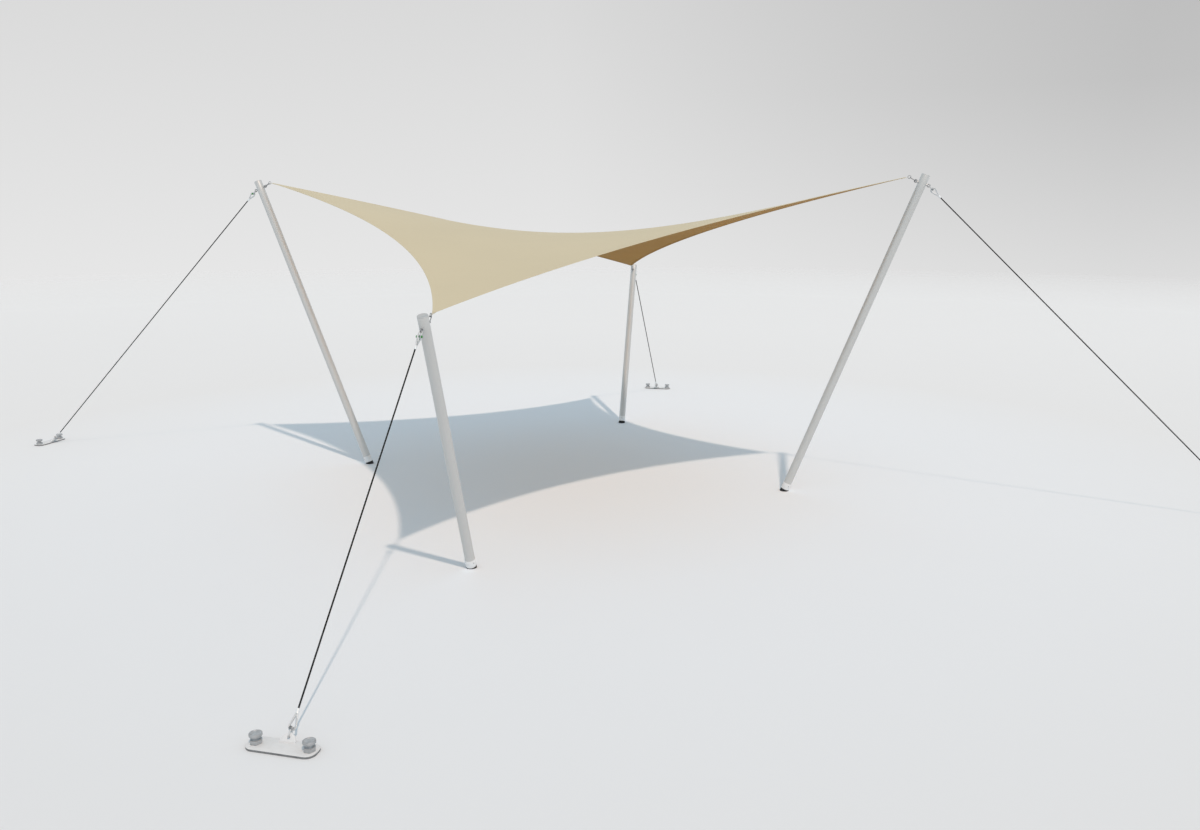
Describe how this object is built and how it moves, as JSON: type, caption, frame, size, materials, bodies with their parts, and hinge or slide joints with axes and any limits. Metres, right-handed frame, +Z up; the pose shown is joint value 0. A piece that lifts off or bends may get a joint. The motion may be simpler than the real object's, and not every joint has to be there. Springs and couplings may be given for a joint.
{
  "type": "stretch tent",
  "caption": "Saddle-shaped tensioned fabric canopy on outward-leaning masts, held by guy cables to staked anchor plates.",
  "frame": {"origin": "on the ground at the middle of the plan, where the lines through the opposite masts cross", "axes": "+X along the line through the two high masts, +Y along the line through the two low masts, +Z up"},
  "size_m": [17.224, 14.294, 4.0173],
  "materials": {
    "sail": "coated membrane, cream above and brown beneath",
    "mast": "satin",
    "foot": "white collar on a dark pad",
    "fittings": "satin",
    "shackle": "galvanised, green pin on the guy shackles",
    "corner_tab": "webbing",
    "cable": "black sheathed wire rope, bare metal ends",
    "anchor_plate": "pale satin",
    "stake": "grey galvanised"
  },
  "bodies": {
    "root": {"sail": "sail", "mast_right": "mast", "foot_right": "foot", "eyebolt_right": "fittings", "sail_shackle_right": "fittings", "sail_ring_right": "fittings", "corner_tab_right": "corner_tab", "guy_shackle_right": "shackle", "guy_cable_right": "cable", "anchor_shackle_right": "shackle", "anchor_plate_right": "anchor_plate", "stake_right_a": "stake", "stake_right_b": "stake", "mast_back": "mast", "foot_back": "foot", "eyebolt_back": "fittings", "sail_shackle_back": "fittings", "sail_ring_back": "fittings", "corner_tab_back": "corner_tab", "guy_shackle_back": "shackle", "guy_cable_back": "cable", "anchor_shackle_back": "shackle", "anchor_plate_back": "anchor_plate", "stake_back_a": "stake", "stake_back_b": "stake", "mast_left": "mast", "foot_left": "foot", "eyebolt_left": "fittings", "sail_shackle_left": "fittings", "sail_ring_left": "fittings", "corner_tab_left": "corner_tab", "guy_shackle_left": "shackle", "guy_cable_left": "cable", "anchor_shackle_left": "shackle", "anchor_plate_left": "anchor_plate", "stake_left_a": "stake", "stake_left_b": "stake", "mast_front": "mast", "foot_front": "foot", "eyebolt_front": "fittings", "sail_shackle_front": "fittings", "sail_ring_front": "fittings", "corner_tab_front": "corner_tab", "guy_shackle_front": "shackle", "guy_cable_front": "cable", "anchor_shackle_front": "shackle", "anchor_plate_front": "anchor_plate", "stake_front_a": "stake", "stake_front_b": "stake"}
  },
  "joints": []
}
